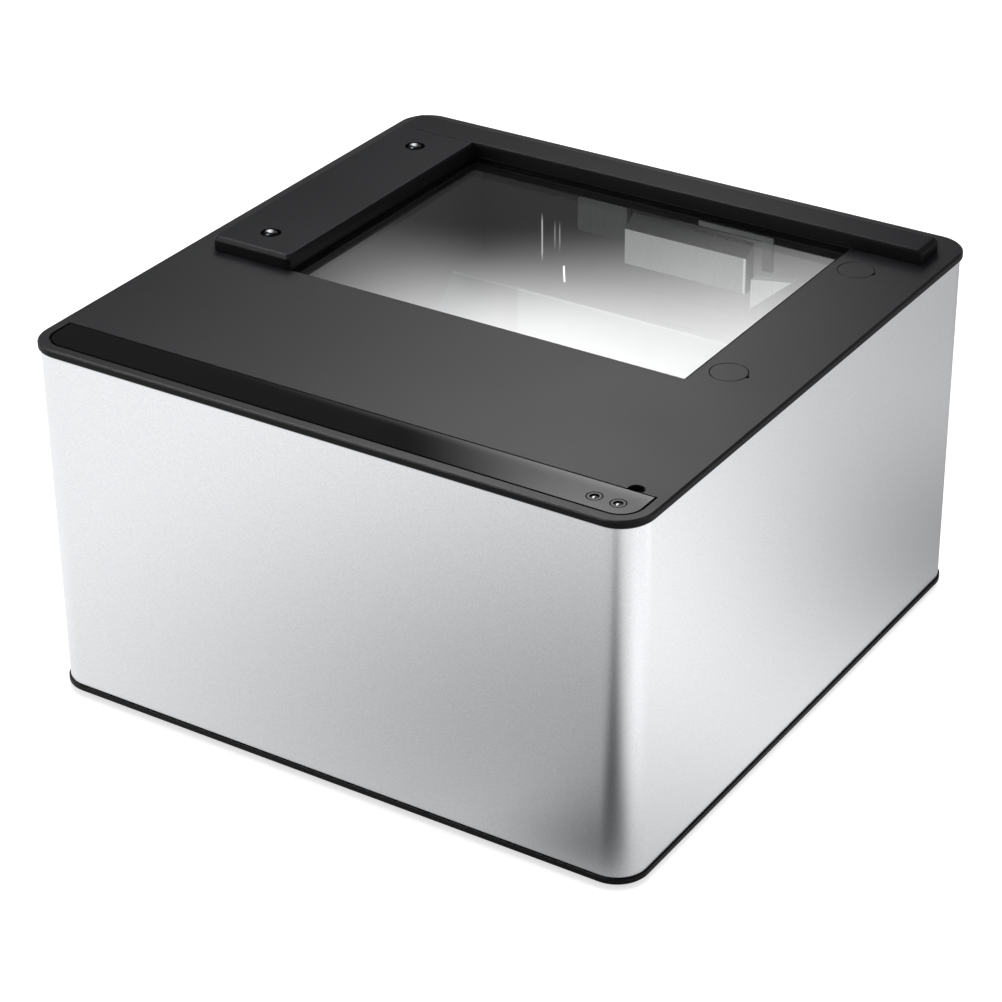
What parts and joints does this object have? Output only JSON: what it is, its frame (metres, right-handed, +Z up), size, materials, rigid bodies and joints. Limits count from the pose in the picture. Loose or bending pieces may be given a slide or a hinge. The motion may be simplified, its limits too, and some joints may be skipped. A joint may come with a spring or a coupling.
{
  "type": "document scanner",
  "caption": "Square table-top document scanner: aluminium sleeve, black cover with a glass window, raised guides in an L, indicator strip and rear sockets.",
  "frame": {"origin": "on the table under the middle of the square cover, level with the underside of the feet", "axes": "+X to the right as the user sees the front, +Y to the back, +Z up"},
  "size_m": [0.2, 0.2, 0.1208],
  "materials": {
    "aluminium_sleeve": "fine satin anodised",
    "black_cover": "smooth satin",
    "gloss_black": "polished",
    "matt_black": "matt",
    "rubber": "matt",
    "steel": "bright",
    "window_glass": "polished",
    "smoked_lens": "clear smoked",
    "diffuser": "opal",
    "mirror": "front-surface mirror",
    "circuit_board": "solder resist",
    "chip": "matt",
    "ribbon": "satin",
    "heat_sink": "plain"
  },
  "bodies": {
    "chassis": {"base_pan": "matt_black", "base_screw_front_left": "steel", "base_screw_front_right": "steel", "base_screw_rear_left": "steel", "base_screw_rear_right": "steel", "camera_board": "circuit_board", "camera_bracket": "steel", "camera_ribbon": "ribbon", "chamber_screw_front_left": "steel", "chamber_screw_front_right": "steel", "chamber_screw_rear_left": "steel", "chamber_screw_rear_right": "steel", "foot_front_left": "rubber", "foot_front_right": "rubber", "foot_rear_left": "rubber", "foot_rear_right": "rubber", "glass_seal": "matt_black", "guide_bar": "black_cover", "guide_bar_screw_left": "steel", "guide_bar_screw_right": "steel", "guide_plate": "black_cover", "guide_screw_front": "steel", "guide_screw_rear": "steel", "heat_sink": "heat_sink", "housing_sleeve": "aluminium_sleeve", "indicator_board": "circuit_board", "indicator_lens_left": "smoked_lens", "indicator_lens_right": "smoked_lens", "indicator_strip": "gloss_black", "io_board": "circuit_board", "io_ribbon": "ribbon", "lamp_board": "circuit_board", "lens_barrel": "matt_black", "lens_mount": "matt_black", "main_board": "circuit_board", "mirror": "mirror", "optical_chamber": "matt_black", "plug_screw_front": "steel", "plug_screw_rear": "steel", "power_jack": "matt_black", "processor": "chip", "rear_diffuser_clip": "diffuser", "rear_diffuser_corner": "diffuser", "rear_diffuser_main": "diffuser", "rear_diffuser_side": "diffuser", "rear_plate": "matt_black", "spacer_front_left": "steel", "spacer_front_right": "steel", "spacer_rear_left": "steel", "spacer_rear_right": "steel", "switch_housing": "matt_black", "top_cover": "black_cover", "usb_socket": "steel", "window_glass": "window_glass"},
    "power_rocker": {"power_rocker": "gloss_black"},
    "plug_front": {"plug_front": "black_cover"},
    "plug_rear": {"plug_rear": "black_cover"}
  },
  "joints": [
    {"name": "power_rocker_hinge", "type": "hinge", "parent": "chassis", "child": "power_rocker", "pos_m": [0.0288, 0.0916, 0.031], "axis": [0, 0, 1], "range_deg": [0, 18]},
    {"name": "plug_front_lift", "type": "slide", "parent": "chassis", "child": "plug_front", "axis": [0, 0, 1], "range_m": [0, 0.008]},
    {"name": "plug_rear_lift", "type": "slide", "parent": "chassis", "child": "plug_rear", "axis": [0, 0, 1], "range_m": [0, 0.008]}
  ]
}
